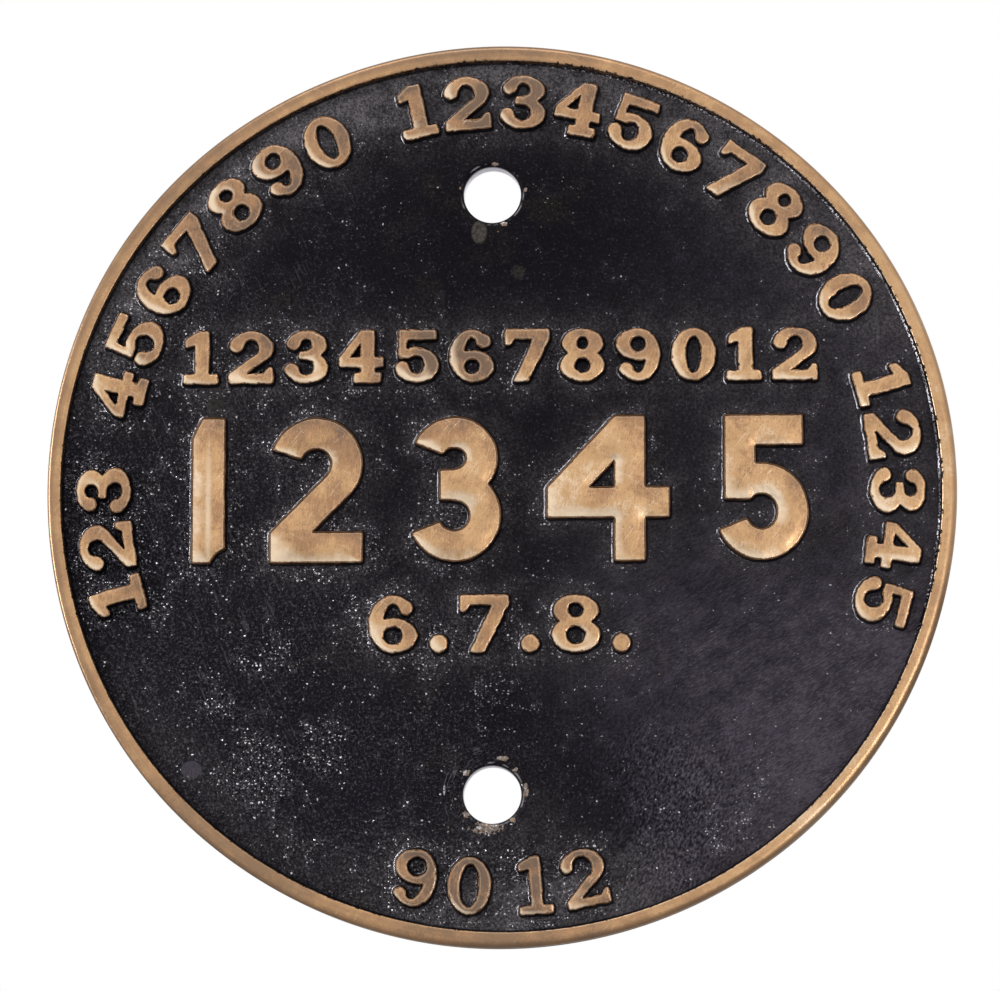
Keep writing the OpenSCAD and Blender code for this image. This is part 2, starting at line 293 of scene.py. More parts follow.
def rubbed_bronze(n, facets=0.0, streaks=None, scratched=0.72, painted_light=0.0):
    """Colour, roughness and height in millimetres of bronze that is rubbed over an old patina."""
    broad = n.noise(8)
    mottle = n.noise(1.5, detail=4, roughness=0.65)
    grit = n.noise(0.42, roughness=0.65)
    if streaks is None:
        streaks = n.noise(0.30, stretch=7.0, turn=80)
    tone = broad * 1.05 + mottle * 0.50 + grit * 0.42 + patina(n)
    # The last term raises the tone where the caller paints light and lowers it where it paints
    # shade
    tone = tone + streaks * 0.50 + painted_light - 0.74
    tint = n.mix(n.step(tone, 0.02, 0.42), BRONZE_DARK, BRONZE_MID)
    tint = n.mix(n.step(tone, 0.38, 0.72), tint, BRONZE_GOLD)
    tint = n.mix(n.step(tone, 0.74, 1.02, 0.0, 0.6), tint, BRONZE_PALE)
    lines = n.larger(scratches(n, 0.30, 52, scratched),
                     scratches(n, 0.26, -30, scratched + 0.01))
    tint = n.mix(lines * 0.5, tint, BRONZE_PALE)
    tint = n.mix(n.step(grit, 0.38, 0.24, 0.0, 0.6), tint, BRONZE_STAIN)
    rough = mottle * 0.22 + 0.20
    height = streaks * 0.014 + mottle * 0.045 - lines * 0.010
    if facets:
        height = height + n.noise(6.5, detail=0) * facets
    return tint, rough, height


# Places where the sand's grain shows through the paint and gets painted glints: x, z and
# radius in millimetres, and how strongly.
SANDY = [(-80, 2, 15, 0.7), (-66, -12, 11, 0.8), (-33, 7, 10, 0.7), (-33, -32, 12, 0.9),
         (-19, -41, 15, 0.8), (6, -41, 16, 0.75), (-62, -71, 17, 1.45), (-45, -66, 12, 1.15),
         (65, -79, 13, 0.6), (59, -88, 14, 0.7), (-16, -103, 12, 0.8), (9, -106, 15, 0.9),
         (26, -103, 11, 0.8), (-89, 56, 11, 0.8), (-98, 46, 11, 0.7), (-71, 38, 14, 0.5),
         (-59, 91, 13, 0.8), (69, -4, 10, 0.6), (-96, 22, 12, 0.5), (88, 66, 12, 0.5),
         (-60, -42, 14, 0.6), (-50, -88, 13, 0.8), (0, -52, 16, 0.75), (-74, -56, 14, 0.6)]

# Where a run of thick paint has stayed smooth and black: x, z and radius in millimetres.
SMOOTH = [(-49, -86, 5), (-43, -82.5, 5.5), (-36, -79.5, 6), (-29, -77, 6), (-23, -76, 5)]


def sandy(n, near, slant, patch):
    """How much the grain shows and gets painted glints: in the places above and round the figures.
    """
    total = near * n.step(slant, -0.5, 0.45, 0.42, 1.05)
    for x, z, radius, amount in SANDY:
        total = n.larger(n.spot(x, z, radius) * amount, total)
    ragged = (patch - 0.5) * 2.4
    return n.step(total + ragged, 0.26, 0.92)


def painted_grey_light(n, near, micro):
    """Share of painted light that greys the paint against the shade of the rim and figures: by the
    figures, and along the rim at the top, right and bottom.
    """
    x, _, z = n.split(n.place)
    r = n.vector_math("LENGTH", n.join(x, 0.0, z), out="Value")
    top = n.step(z - x * 0.1, 12 * MM, 62 * MM, 0.14, 1.0)
    top = n.larger(top, n.spot(6, -104, 52, 0.8))
    band = n.step(r, 92 * MM, 106 * MM) * top
    share = n.larger(near * 0.36, band * 0.95)
    share = n.larger(share, n.spot(4, -101, 32, 0.8) * 0.26)
    share = share * n.step(n.noise(5), 0.30, 0.62, 0.45, 1.0)
    share = share * (1.0 - n.spot(-108, -14, 62, 0.7))
    return share * n.step(micro, 0.40, 0.62, 0.30, 1.28)


def painted(n, grain=True):
    """Colour, gloss of the painted glints, roughness and height in millimetres of the black paint,
    with painted shade in its pits and painted highlights, sheen and light on its grains.
    """
    x, _, z = n.split(n.place)
    near = n.attribute("near")

    # Where the paint is coarse, calm, brushed or pebbly. The slant grows towards the lower left.
    cloud = n.noise(22)
    patch = n.noise(4.2, detail=3)
    slant = x * -4.4 + z * -4.0
    left = n.step(slant + cloud * 1.2, 0.34, 1.10)
    calm = 0.0
    for spot_x, spot_z, radius in SMOOTH:
        calm = n.larger(n.spot(spot_x, spot_z, radius, 0.7), calm)
    sand = sandy(n, near, slant, patch) * (1.0 - calm)
    coarse = n.larger(left, sand)
    brushed = n.step(x, -2 * MM, 58 * MM) * n.step(z, 15 * MM, -45 * MM)
    pebbly = n.spot(34, -86, 52, 0.8)

    # Relief: grains, or brush strokes with pebbles among them, on lumps.
    grains = n.noise(0.85, detail=3, roughness=0.72)
    strokes = n.noise(0.27, detail=3, roughness=0.65, stretch=4.0, turn=30)
    pebbles = n.noise(0.62, detail=3, roughness=0.62, stretch=1.7, turn=62)
    strokes = n.blend(pebbly, strokes, pebbles)
    texture = n.blend(brushed * 0.8, grains, strokes)
    fine = n.noise(0.46, roughness=0.55)
    deep = n.blend(left, 0.24, 0.50) + sand * 0.25
    height = patch * 0.40 + texture * deep + fine * 0.08
    micro = texture * 0.6 + fine * 0.4
    micro = n.blend(brushed * 0.85, micro, strokes)

    # Black with painted shade in the pits and lighter with a painted highlight on the grains,
    # smeared and partly olive.
    top = n.mix(coarse, PAINT_BLACK, PAINT_TOP)
    top = n.mix(n.step(micro, 0.54, 0.72, 0.0, 0.4), top, PAINT_DUST_AND_SHEEN)
    raised = n.step(micro, 0.38, 0.62)
    tint = n.mix(raised, PAINT_SHADE, top)
    smear = n.step(patch, 0.50, 0.72, 0.0, 0.26) * n.step(micro, 0.35, 0.60)
    smear = smear * n.larger(n.blend(coarse, 0.25, 1.0), brushed)
    tint = n.mix(smear, tint, PAINT_DUST_AND_SHEEN)
    olive = n.step(n.noise(13), 0.56, 0.72) * raised
    tint = n.mix(olive * 0.40, tint, PAINT_OLIVE)

    # Dust and painted sheen, most of it at the lower right and brighter toward the rim there,
    # and painted light, grey, by the figures and the rim.
    sweep = n.noise(2.6, stretch=4.0, turn=38)
    # Painted sheen: brighter toward the rim at the lower right
    toward = x * 0.62 - z * 0.78
    worn = n.larger(brushed, n.step(x, 10 * MM, 100 * MM, 0.0, 0.5))
    dust_and_sheen = n.step(micro, 0.38, 0.66, n.blend(pebbly, 0.40, 0.05), 1.0) * worn
    dust_and_sheen = dust_and_sheen * (n.step(cloud, 0.25, 0.6, 0.70, 1.0) * n.step(sweep, 0.25, 0.75, 0.80, 1.25))
    dust_and_sheen = dust_and_sheen * (n.step(patch, 0.34, 0.62, 0.72, 1.1)
                     * n.step(toward, 60 * MM, 106 * MM, 0.95, 1.35))
    dust_and_sheen = dust_and_sheen * (1.0 - n.spot(12, -86, 40, 0.8, (1.2, 1.0)) * 0.8)
    tint = n.mix(dust_and_sheen, tint, PAINT_DUST_AND_SHEEN)
    # Painted light: grey by the figures and along the rim
    tint = n.mix(painted_grey_light(n, near, micro), tint, PAINT_GREY_LIGHT)
    tint = n.mix(calm * 0.75, tint, PAINT_BLACK)

    # Fine trails at the left, a painted highlight on the highest grains, two marks and a drop of
    # paint.
    trails = n.step(n.noise(0.7, stretch=11.0, turn=-66), 0.60, 0.72)
    trails = trails * n.step(x, -20 * MM, -70 * MM, 0.0, 0.055)
    tint = n.mix(trails, tint, PAINT_SPECK_AND_GLINT)
    # Painted highlight: pale colour on the highest grains
    film = micro - (n.blend(left, 0.60, 0.53) + sand * -0.035)
    tint = n.mix(n.math("MULTIPLY", film, 0.80, clamp=True), tint, PAINT_SPECK_AND_GLINT)
    marks = n.larger(n.spot(4.8, 57.4, 2.2, 0.4), n.spot(-73.8, 24.5, 5.0, 0.5, (1.7, 0.9)))
    tint = n.mix(marks * n.step(micro, 0.40, 0.60, 0.15, 0.75), tint, PAINT_MARK)
    drop = n.spot(-78.9, -71.4, 2.8, 0.14, (1.0, 1.15))
    tint = n.mix(drop * n.step(fine, 0.30, 0.66, 0.45, 0.9), tint, PAINT_DUST_AND_SHEEN)
    height = n.blend(drop, height, 0.45 + fine * 0.06)
    rough = n.blend(left, 0.40, 0.25)
    if not grain:
        return tint, 0.0, rough, height

    # Painted glints: pale metal dots on the grains, shifted a little off their even places.
    shift = n.join((fine - 0.5) * (1.1 * MM), (grains - 0.5) * (1.1 * MM), 0.0)
    flat = n.vector_math("ADD", n.join(x, z, 0.0), shift)
    share = (n.blend(left, 0.002, 0.042) + sand * 0.58) * (1.0 - calm)
    glints = n.larger(n.dots(flat, 0.95, share), n.dots(flat, 0.62, share * 0.5))
    glints = n.math("MULTIPLY", glints, n.blend(left, 0.7, 1.25) - drop, clamp=True)
    return n.mix(glints, tint, PAINT_SPECK_AND_GLINT), glints, rough, height


def coated(n, bare, bronze, facing, deep):
    """Bare bronze where the mask says so, and elsewhere black paint: painted shade where deep,
    and painted glints in small spots, most of all where it is facing the lamps."""
    tint, rough, height = bronze
    black, _, black_rough, black_height = painted(n, grain=False)
    # Painted glints in small spots, most where facing the lamps, and painted shade where deep
    glint_spots = n.step(n.noise(0.55) + facing * 0.36, 0.77, 0.89)
    black = n.mix(deep * 0.85, black, PAINT_SHADE)
    black = n.mix(glint_spots, black, PAINT_SPECK_AND_GLINT)
    tint = n.mix(bare, black, tint)
    rough = n.blend(bare, black_rough, rough)
    height = n.blend(bare, black_height, height)
    return n.connect(height, colour=tint, metal=n.larger(bare, glint_spots), rough=rough,
                     specular=PAINT_SPECULAR)


# Chips round the holes: how far to the right of and above the middle of the hole, radius, and
# how the spot is squeezed across and upwards.
UPPER_CHIPS = [(0.8, 8.0, 1.5, (0.8, 1.6)), (8.6, 1.2, 1.2, (1.3, 0.9)),
               (-8.3, 1.6, 1.0, (1.4, 0.8)), (3.0, -7.9, 1.9, (0.9, 1.3))]
LOWER_CHIPS = [(-1.2, -8.6, 6.6, (0.72, 2.0)), (2.6, 9.2, 2.6, (0.7, 1.9)),
               (5.9, 6.4, 1.7, (1.2, 1.2)), (8.6, 1.2, 3.4, (2.4, 0.8)),
               (-6.6, 5.6, 2.4, (1.1, 1.1)), (-6.6, -5.2, 2.2, (1.1, 0.9)),
               (5.4, -6.6, 2.2, (1.2, 1.2))]


def lip_wear(n):
    """Where the paint is chipped off round the lips of the holes."""
    ragged = n.noise(0.9, detail=4, roughness=0.65)
    total = 0.0
    for hole, chips in ((LOWER_HOLE, LOWER_CHIPS), (UPPER_HOLE, UPPER_CHIPS)):
        for x, z, radius, squeeze in chips:
            near = n.spot(hole[0] + x, hole[1] + z, radius, squeeze=squeeze)
            total = n.larger(near, total)
    return n.step(total * 0.9 + ragged * 1.6, 1.30, 1.42)


def lip_line(n):
    """A thin pale line round the lip of each hole, broken in places: partly rubbed paint and
    partly a painted highlight on the rounded lip.
    """
    total = 0.0
    for hole in HOLE_PLACES:
        far = n.distance(*hole)
        inner = n.step(far, (HOLE_R + 0.42) * MM, (HOLE_R + 0.62) * MM)
        total = n.larger(inner * n.step(far, (HOLE_R + 0.98) * MM, (HOLE_R + 0.74) * MM), total)
    return total * n.step(n.noise(3.2), 0.46, 0.62)


def arcs(n):
    """Scratches that a washer has turned into the paint to the left of the lower hole."""
    middle = (LOWER_HOLE[0] * MM, 0.0, LOWER_HOLE[1] * MM)
    x, _, z = n.split(n.vector_math("SUBTRACT", n.place, middle))
    r = n.math("SQRT", x * x + z * z)
    around = n.join(r, 0.0, n.math("ARCTAN2", z, x) * (1.2 * MM))
    lines = n.step(n.noise(0.42, place=around), 0.56, 0.68)
    band = n.step(r, 9.6 * MM, 10.8 * MM) * n.step(r, 13.8 * MM, 12.8 * MM)
    side = n.step(z * 0.6 - x, 5.0 * MM, 11.0 * MM)
    return lines * band * side


def paint_material():
    """Black paint over the sunk ground, chipped and scratched round the holes."""
    n = Finish("ground_paint_black")
    worn = lip_wear(n)
    orange = n.noise(0.8, detail=1) + (n.noise(14, detail=1) - 0.5) * 0.3
    worn = n.larger(worn, n.step(orange, 0.80, 0.84))
    bronze, _, height = rubbed_bronze(n)
    film = n.step(n.noise(1.0, detail=3, roughness=0.7), 0.34, 0.54, 0.10, 0.95)
    bronze = n.mix(film, bronze, HOLE_GREY)
    # Painted glints: pale specks on the bare bronze of the chips
    chip_glints = n.step(n.noise(0.6, detail=3, roughness=0.7), 0.54, 0.66)
    bronze = n.mix(chip_glints, bronze, PAINT_SPECK_AND_GLINT)
    stain = n.step(n.noise(0.8), 0.44, 0.34, 0.0, 0.8)
    bronze = n.mix(stain, bronze, BRONZE_STAIN)
    black, glints, black_rough, black_height = painted(n)
    strip = n.spot(UPPER_HOLE[0] - 3.4, UPPER_HOLE[1] - 10.0, 3.4, 0.3, (1.5, 1.0))
    strip = strip * n.step(n.noise(0.6, detail=3, roughness=0.7), 0.34, 0.62, 0.35, 1.0)
    black = n.mix(strip * 0.36, n.mix(strip, black, PAINT_OLIVE), HOLE_GREY)
    black = n.mix(arcs(n) * 0.16, black, PAINT_SPECK_AND_GLINT)
    # Partly rubbed paint and partly painted highlight: a pale line round each lip
    black = n.mix(lip_line(n) * 0.35, black, PAINT_SPECK_AND_GLINT)
    nick = n.spot(LOWER_HOLE[0] - 12.2, LOWER_HOLE[1] + 1.2, 1.7, 0.9, (5.0, 1.0))
    nick = nick * n.step(n.noise(0.8), 0.30, 0.52)
    black = n.mix(n.math("MULTIPLY", nick, 1.8, clamp=True), black, PAINT_SPECK_AND_GLINT)
    height = n.blend(worn, black_height, height - 0.12)
    return n.connect(height, colour=n.mix(worn, black, bronze), metal=n.larger(worn, glints),
                     rough=n.blend(worn, black_rough, 0.42), specular=PAINT_SPECULAR)


def figure_material(name, large):
    """Raised figures: rubbed faces with painted light, shade and highlights, edges partly
    burnished and partly a painted highlight, and black paint on the sides with painted glints and
    painted shade.
    """
    n = Finish(name)
    inset, lean, tilt = n.attribute("inset"), n.attribute("lean"), n.attribute("tilt")
    on_face = n.step(inset, -0.1, 0.0)
    # Painted light and shade: the tone is lighter toward the lit end of the figure and, on large
    # figures, on slopes that face the light
    painted_light = tilt * (0.07 if large else 0.20)
    if large:
        painted_light = painted_light + lean * 0.22
    tint, rough, height = rubbed_bronze(n, facets=0.24 if large else 0.36,
                                        scratched=0.66 if large else 0.71, painted_light=painted_light)
    # Painted highlight: pale bronze on edges and slopes that face the light, toward the lit end,
    # and along a ridge of the first large figure
    highlight = lean * (1.0 if large else 0.42) + n.noise(11) * (1.8 if large else 1.3)
    highlight = highlight + tilt * (0.22 if large else 0.45)
    dim, full = (1.20, 1.90) if large else (0.86, 1.34)
    highlight = n.step(highlight, dim, full, 0.0, 0.85) * on_face
    if large:
        ridge_highlight = n.spot(-75.0, -6.0, 1.2, 0.9, (1.0, 0.045))
        highlight = n.larger(highlight, ridge_highlight * n.step(inset, 0.3, 0.8, 0.0, 0.6))
    tint = n.mix(highlight, tint, BRONZE_HIGHLIGHT)
    ragged = n.noise(0.7, detail=3, roughness=0.65)
    creep = n.step(n.noise(1.5), 0.56, 0.72, 0.0, 0.10 if large else 0.28)
    reach = inset + ragged * 0.6 - creep
    # Partly burnished wear and partly painted highlight: a pale line just inside the edge of the
    # face
    edge = n.step(reach, 0.40, 0.54) * n.step(reach, 0.90, 0.62)
    tint = n.mix(edge * (0.30 if large else 0.22), tint, BRONZE_PALE)
    # Partly stained bronze and partly painted shade: a dark band at the edge of the face and on
    # the bare top of its side
    fringe = n.step(reach, 0.70 if large else 0.56, 0.42 if large else 0.32)
    fringe = n.larger(fringe, n.step(inset, 0.04, -0.10))
    tint = n.mix(fringe * 0.9, tint, BRONZE_FRINGE)
    if large:
        reach = reach + n.step(n.noise(6), 0.36, 0.60, 0.0, 1.1)
    bare = n.step(reach, 0.02, 0.12)
    rough = rough - edge * 0.06
    # Painted glints on the black sides: where they face the lamps, and in a broken line at their
    # foot
    facing = lean * n.step(inset, -1.2, -1.9)
    foot = n.step(inset, -2.34, -2.44) * n.step(inset, -2.66, -2.54)
    foot = foot * n.step(n.noise(3.5), 0.44, 0.60, 0.0, 0.55)
    # Painted shade: the black sides are darker above their foot
    deep = n.step(inset, -2.44, -2.20)
    return coated(n, bare, (tint, rough, height), facing + foot, deep)


def rim_material():
    """The rim: filed bronze with a ragged line of black paint along its inner edge, a painted
    highlight on that edge at the right, painted shade on its outer half, and painted glints on its
    inner wall.
    """
    n = Finish("rim_bronze")
    x, y, z = n.split(n.place)
    inset = n.attribute("inset")
    flat = n.vector_math("MULTIPLY", n.place, (1.0, 0.0, 1.0))
    r = n.vector_math("LENGTH", flat, out="Value")
    ray = n.vector_math("MULTIPLY", n.vector_math("NORMALIZE", flat), (5 * MM, 0.0, 5 * MM))
    along = n.vector_math("ADD", ray, n.join(0.0, r, 0.0))
    streaks = n.noise(0.60, detail=3, roughness=0.6, place=along)
    tint, rough, height = rubbed_bronze(n, facets=0.20, streaks=streaks)
    tint = n.mix(0.35, tint, BRONZE_FILED)
    below = n.step(y, (PAINT_Y - FACE_H + 0.02) * MM, (PAINT_Y - FACE_H + 0.5) * MM)
    shade = below * n.step(inset, 1.0, 1.6)
    tint = n.mix(shade * 0.55, tint, BRONZE_DARK)
    top_left = x * -0.85 + z * 0.53  # painted shade: the outer half is darker there
    # Painted shade on the outer half of the rim at the top left
    outer_shade = n.step(top_left, 5 * MM, 75 * MM, 0.0, 0.46) * n.step(inset, 1.1, 2.3)
    tint = n.mix(outer_shade, tint, BRONZE_DARK)
    hairs = n.noise(0.40, detail=4, roughness=0.75)
    teeth = n.step(x + z, 40 * MM, 120 * MM, 0.22, 0.55)
    creep = n.step(n.noise(1.1, detail=3), 0.46, 0.72, 0.0, teeth)
    reach = inset + hairs - creep
    bare = n.step(reach, 0.40, 0.50)
    # Painted highlight: a pale line along the inner edge of the face, strongest on the right
    edge = n.step(inset, 0.0, 0.1) * n.step(inset, 0.45, 0.15)
    right = n.step(x, -30 * MM, 80 * MM, 0.05, 0.5)
    tint = n.mix(edge * right, tint, BRONZE_PALE)
    # Partly stained bronze and partly painted shade: a dark band where the paint begins
    tint = n.mix(n.step(reach, 0.72, 0.48, 0.0, 0.8), tint, BRONZE_FRINGE)
    # Painted glints on the inner wall, most at the upper right where it faces the lamps
    band = n.step(inset, -1.5, -0.9) * n.step(inset, -0.1, -0.3)
    band = band * n.step(z, -70 * MM, -10 * MM, 0.2, 0.9)
    facing = x * (1 / (RIM_INNER_R * MM)) + z * (0.45 / (RIM_INNER_R * MM))
    # Painted shade: the inner wall is darker above its foot
    deep = n.step(inset, -0.75, -0.45)
    return coated(n, bare, (tint, rough, height), facing * band, deep)


def plate_material():
    """Bare bronze of the back and the wall, rough as cast, and the holes, with a painted
    reflection deep in them and painted shade near their front.
    """
    n = Finish("plate_bronze")
    tint, rough, height = rubbed_bronze(n)
    tint = n.mix(n.step(n.noise(6, detail=4), 0.3, 0.7), tint, BRONZE_DARK)
    y = n.split(n.place)[1]
    sand = n.noise(26, detail=5, roughness=0.62) * 0.9
    sand = sand + n.noise(0.8, detail=3, roughness=0.7) * 0.6
    back = n.mix(n.step(sand, 0.52, 1.00), BRONZE_DARK, BRONZE_MID)
    stain = n.step(n.noise(3.4, detail=4, roughness=0.6), 0.56, 0.74, 0.0, 0.45)
    back = n.mix(stain, back, BRONZE_STAIN)
    behind = n.step(y, (PAINT_Y - BACK_H - 0.9) * MM, (PAINT_Y - BACK_H - 0.35) * MM)
    tint = n.mix(behind, tint, back)
    # Painted reflection and shade in the holes: dark grey near the front and near white toward the
    # back
    wall = n.mix(n.step(y, (PAINT_Y + 0.6) * MM, (PAINT_Y + 3.0) * MM), HOLE_GREY, HOLE_WALL_REFLECTION)
    for x, z in HOLE_PLACES:
        tint = n.mix(n.spot(x, z, HOLE_R + 0.35, 0.02), tint, wall)
    height = height + n.noise(0.9, detail=3) * 0.14
    return n.connect(height, colour=tint, metal=1.0, rough=rough + 0.12)


# Flat outlines

def outline_loops(node):
    """Outlines of a node's front face, anticlockwise outside and clockwise round its holes."""
    mesh = bmesh.new()
    mesh.from_mesh(frame["nodes"][node].data)
    bmesh.ops.remove_doubles(mesh, verts=mesh.verts, dist=1e-6)
    front = min(v.co.y for v in mesh.verts) + 1e-5
    faces = [f for f in mesh.faces if all(v.co.y < front for v in f.verts)]
    chosen = set(faces)
    following = {}
    for face in faces:
        for loop in face.loops:
            if sum(f in chosen for f in loop.edge.link_faces) == 1:
                following[loop.vert] = loop.link_loop_next.vert
    loops = []
    while following:
        vert, nxt = following.popitem()
        chain = [vert]
        while nxt in following:
            chain.append(nxt)
            nxt = following.pop(nxt)
        loops.append(np.array([(v.co.x, v.co.z) for v in chain]) / MM)
    mesh.free()
    return loops


SHARP_TURN = math.radians(25)  # more than this is a corner, and less a part of a curve


def smoothed(curve, step, radius):
    """A closed run of complex points after a soft blur along its length."""
    waves = np.fft.fftfreq(len(curve), d=step)
    return np.fft.ifft(np.fft.fft(curve) * np.exp(-2 * (math.pi * radius * waves) ** 2))


def softened(loop, step, corner, curve):
    """The outline at equal steps, its corners rounded a little and its curves made even."""
    closed = np.append(loop[:, 0] + 1j * loop[:, 1], loop[0, 0] + 1j * loop[0, 1])
    sides = np.diff(closed)
    lengths = np.concatenate([[0], np.cumsum(np.abs(sides))])
    turns = np.abs(np.angle(sides / np.roll(sides, 1)))
    count = max(16, round(lengths[-1] / step))
    at = np.arange(count) * lengths[-1] / count
    points = np.interp(at, lengths, closed.real) + 1j * np.interp(at, lengths, closed.imag)
    sharp = lengths[:-1][turns > SHARP_TURN]
    apart = np.abs(at[:, None] - sharp[None, :])
    apart = np.minimum(apart, lengths[-1] - apart).min(axis=1, initial=lengths[-1])
    even = np.clip((apart - 1.2 * curve) / (1.6 * curve), 0, 1)
    even = even * even * (3 - 2 * even)
    points = smoothed(points, step, corner) * (1 - even) + smoothed(points, step, curve) * even
    return np.stack([points.real, points.imag], axis=1)


def outward(loop):
    """Unit normals of an outline, away from the metal."""
    along = np.roll(loop, -1, axis=0) - np.roll(loop, 1, axis=0)
    along /= np.linalg.norm(along, axis=1)[:, None] + 1e-12
    return np.stack([along[:, 1], -along[:, 0]], axis=1)


def hand_cut(loop, step, amount, rng):
    """How far each point of an outline stands out, as the edge of a hand-cut pattern does."""
    count = len(loop)
    waves = np.abs(np.fft.fftfreq(count, d=step))
    weight = np.where((waves > 0.04) & (waves < 0.9), 1 / (0.08 + waves ** 1.5), 0)
    spectrum = weight * np.exp(2j * math.pi * rng.random(count))
    moves = np.fft.ifft(spectrum).real
    return moves * amount / (moves.std() + 1e-12)


def room(loops, side):
    """For each point, how far an offset may go before it meets the one from across."""
    points = np.vstack(loops)
    normals = np.vstack([outward(loop) for loop in loops]) * side
    reach = points[None, :, :] - points[:, None, :]
    ahead = np.einsum("ijk,ik->ij", reach, normals)
    square = np.einsum("ijk,ijk->ij", reach, reach)
    radius = np.where(ahead > 1e-6, square / (2 * np.maximum(ahead, 1e-6)), 1e3)
    return radius.min(axis=1)


class Shell:
    """A closed surface made of rings of points and flat caps.

    Its points carry marks for the materials. Inset: millimetres in from the edge of a face, and
    below 0 down its side. Lean: how much it faces the light, up to 1. Lit end: from -1 at the end
    of a figure that gets painted shade to 1 at the end that gets painted light. Near: 1 at a
    figure, less further off.
    """

    def __init__(self):
        self.points = []
        self.faces = []
        self.marks = {"inset": [], "lean": [], "tilt": [], "near": []}

    def ring(self, flat, height, **marks):
        """Adds a ring at a height, marks its points and gives their indices."""
        first = len(self.points)
        heights = np.broadcast_to(height, len(flat))
        self.points.extend(zip(flat[:, 0], PAINT_Y - heights, flat[:, 1]))
        for label, values in self.marks.items():
            values.extend(np.broadcast_to(marks.get(label, 0.0), len(flat)))
        return np.arange(first, first + len(flat))

    def stack(self, rings):
        """Joins rings of as many points, each to the next."""
        for low, high in zip(rings, rings[1:]):
            corner = [low, np.roll(low, -1), np.roll(high, -1), high]
            self.faces.extend(np.stack(corner, axis=1).tolist())

    def cap(self, rings, front, inner=None, height=None, **marks):
        """Closes the space inside the rings, through more points if there are some."""
        ids = np.concatenate(rings)
        flat = np.array([(self.points[i][0], self.points[i][2]) for i in ids])
        edges, first = [], 0
        for ring in rings:
            edges += [(first + k, first + (k + 1) % len(ring)) for k in range(len(ring))]
            first += len(ring)
        loops = np.split(flat, np.cumsum([len(ring) for ring in rings])[:-1])
        if inner is not None and len(inner):
            ids = np.concatenate([ids, self.ring(inner, height, **marks)])
            flat = np.vstack([flat, inner])
        made = delaunay_2d_cdt([Vector(p) for p in flat], edges, [], 0, 1e-7)
        triangles, origins = np.array([t for t in made[2] if len(t) == 3]), made[3]
        names = np.array([o[0] if o else -1 for o in origins])
        triangles = names[triangles]
        triangles = triangles[(triangles >= 0).all(axis=1)]
        corner = flat[triangles]
        triangles = triangles[inside(corner.mean(axis=1), loops)]
        corner = flat[triangles]
        p, q = corner[:, 1] - corner[:, 0], corner[:, 2] - corner[:, 0]
        turned = (p[:, 0] * q[:, 1] - p[:, 1] * q[:, 0] > 0) != front
        triangles[turned] = triangles[turned][:, ::-1]
        self.faces.extend(map(tuple, ids[triangles].tolist()))
        return ids, triangles

    def piece(self, name, material, *nodes, slot="bronze"):
        """The shell as a piece of the plate that stands for the named nodes."""
        mesh = bpy.data.meshes.new(name)
        mesh.from_pydata((np.array(self.points) * MM).tolist(), [], self.faces)
        for label, values in self.marks.items():
            attribute = mesh.attributes.new(label, "FLOAT", "POINT")
            attribute.data.foreach_set("value", np.array(values, np.float32))
        mesh.polygons.foreach_set("use_smooth", [True] * len(mesh.polygons))
        mesh.materials.append(material)
        mesh.update()
        return dressed(name, mesh, slot, *nodes)


def dressed(name, mesh, slot, *nodes):
    """A finished piece that rides on the plate and stands for its nodes."""
    piece = bpy.data.objects.new(name, mesh)
    bpy.context.scene.collection.objects.link(piece)
    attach(piece, "root")
    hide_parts(*nodes)
    return piece


AT_ONCE = 4096  # how many points are tested together


def inside(points, loops):
    """Which points lie inside an odd number of the outlines."""
    odd = np.zeros(len(points), bool)
    for loop in loops:
        a, b = loop, np.roll(loop, -1, axis=0)
        for start in range(0, len(points), AT_ONCE):
            p = points[start:start + AT_ONCE]
            crosses = (a[None, :, 1] > p[:, None, 1]) != (b[None, :, 1] > p[:, None, 1])
            rise = np.where(b[:, 1] == a[:, 1], 1e-12, b[:, 1] - a[:, 1])
            slope = (b[:, 0] - a[:, 0]) / rise
            at = a[None, :, 0] + (p[:, None, 1] - a[None, :, 1]) * slope[None, :]
            count = (crosses & (p[:, None, 0] < at)).sum(axis=1)
            odd[start:start + AT_ONCE] ^= (count % 2).astype(bool)
    return odd


def scrambled(x, z, seed):
    """A number from -1 to 1 for each whole x and z, with no order in them."""
    h = x * 374761393 + z * 668265263 + seed * 974711
    h = (h ^ (h >> 13)) * 1274126177
    return ((h ^ (h >> 16)) & 0xFFFF) / 32767.5 - 1


def bumps(flat, size, seed):
    """Smooth random heights from -1 to 1, in lumps of about size millimetres and of half that."""
    total = np.zeros(len(flat))
    for octave in range(2):
        p = flat / size * 2 ** octave + 31.7 * (octave + seed)
        cell = np.floor(p).astype(np.int64)
        f = p - cell
        f = f * f * (3 - 2 * f)
        a, b, c, d = (scrambled(cell[:, 0] + dx, cell[:, 1] + dz, seed)
                      for dx, dz in ((0, 0), (1, 0), (0, 1), (1, 1)))
        low = a + (b - a) * f[:, 0]
        high = c + (d - c) * f[:, 0]
        total += (low + (high - low) * f[:, 1]) / 2 ** octave
    return total / 1.5


WALL_POINTS = 960
HOLE_POINTS = 120
WALL_TURN = np.arange(WALL_POINTS) * 2 * math.pi / WALL_POINTS
HOLE_TURN = np.arange(HOLE_POINTS) * -2 * math.pi / HOLE_POINTS


def polar(turn, radius):
    """Points at angles and distances from the middle."""
    return np.stack([radius * np.cos(turn), radius * np.sin(turn)], axis=1)


def bore(centre, radius):
    """Points round a hole, clockwise as the outlines of openings run."""
    return centre + polar(HOLE_TURN, radius)


# Raised figures

